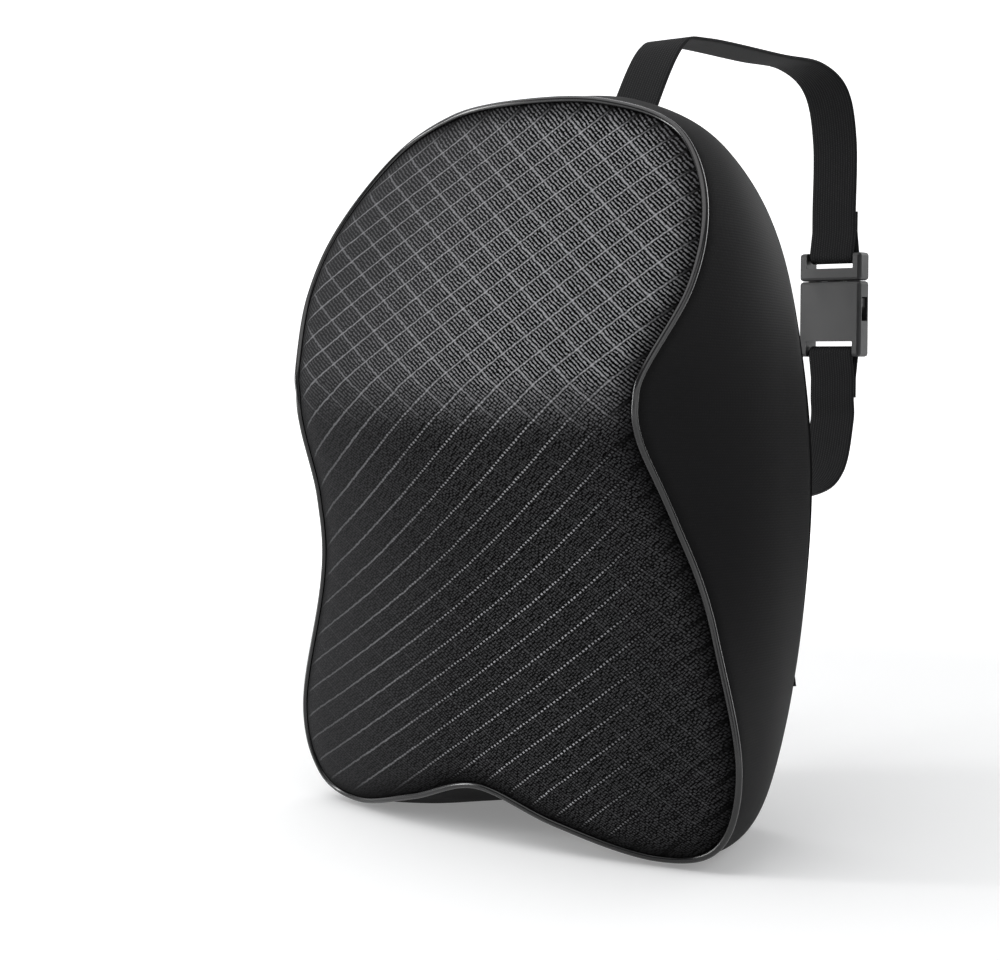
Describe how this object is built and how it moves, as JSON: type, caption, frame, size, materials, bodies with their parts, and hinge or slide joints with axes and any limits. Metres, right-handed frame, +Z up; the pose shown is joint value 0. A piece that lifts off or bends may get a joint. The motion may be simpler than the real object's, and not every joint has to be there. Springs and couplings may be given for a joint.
{
  "type": "car headrest neck pillow",
  "caption": "Contoured foam neck pillow in a sewn, zipped cover, held to a car headrest by an elastic strap with a side-release buckle.",
  "frame": {"origin": "on the plane that the lower lobes stand on, under the middle of the whole part's width and depth", "axes": "+Z up, +Y from the face to the back and the strap, +X to the right as seen from in front of the face"},
  "size_m": [0.2322, 0.311, 0.3395],
  "materials": {
    "memory_foam": "open-cell foam",
    "face_fabric": "ribbed jacquard with a woven diamond grid",
    "piping_vinyl": "semi-gloss",
    "side_fabric": "smooth matt knit",
    "zip_tape_cloth": "woven tape",
    "zip_nylon": "satin",
    "zip_metal": "dark satin",
    "elastic_webbing": "woven elastic",
    "buckle_plastic": "fine moulded grain"
  },
  "bodies": {
    "pillow": {"foam_core": "memory_foam", "front_panel": "face_fabric", "front_piping": "piping_vinyl", "side_gusset": "side_fabric", "back_panel_upper": "side_fabric", "back_panel_lower": "side_fabric", "zip_tape_upper": "zip_tape_cloth", "zip_tape_lower": "zip_tape_cloth", "zip_teeth_upper": "zip_nylon", "zip_teeth_lower": "zip_nylon", "zip_stop_left": "zip_metal", "zip_stop_right": "zip_metal", "strap_upper": "elastic_webbing", "strap_lower": "elastic_webbing", "buckle_socket": "buckle_plastic", "buckle_plug": "buckle_plastic"},
    "slider": {"zip_slider": "zip_metal"},
    "pull": {"zip_pull": "zip_metal"}
  },
  "joints": [
    {"name": "zip_slide", "type": "slide", "parent": "pillow", "child": "slider", "axis": [-1, 0, 0], "range_m": [0, 0.1306]},
    {"name": "pull_swing", "type": "hinge", "parent": "slider", "child": "pull", "pos_m": [0.0653, -0.02972, 0.062], "axis": [0, 0, -1], "range_deg": [0, 175]}
  ]
}
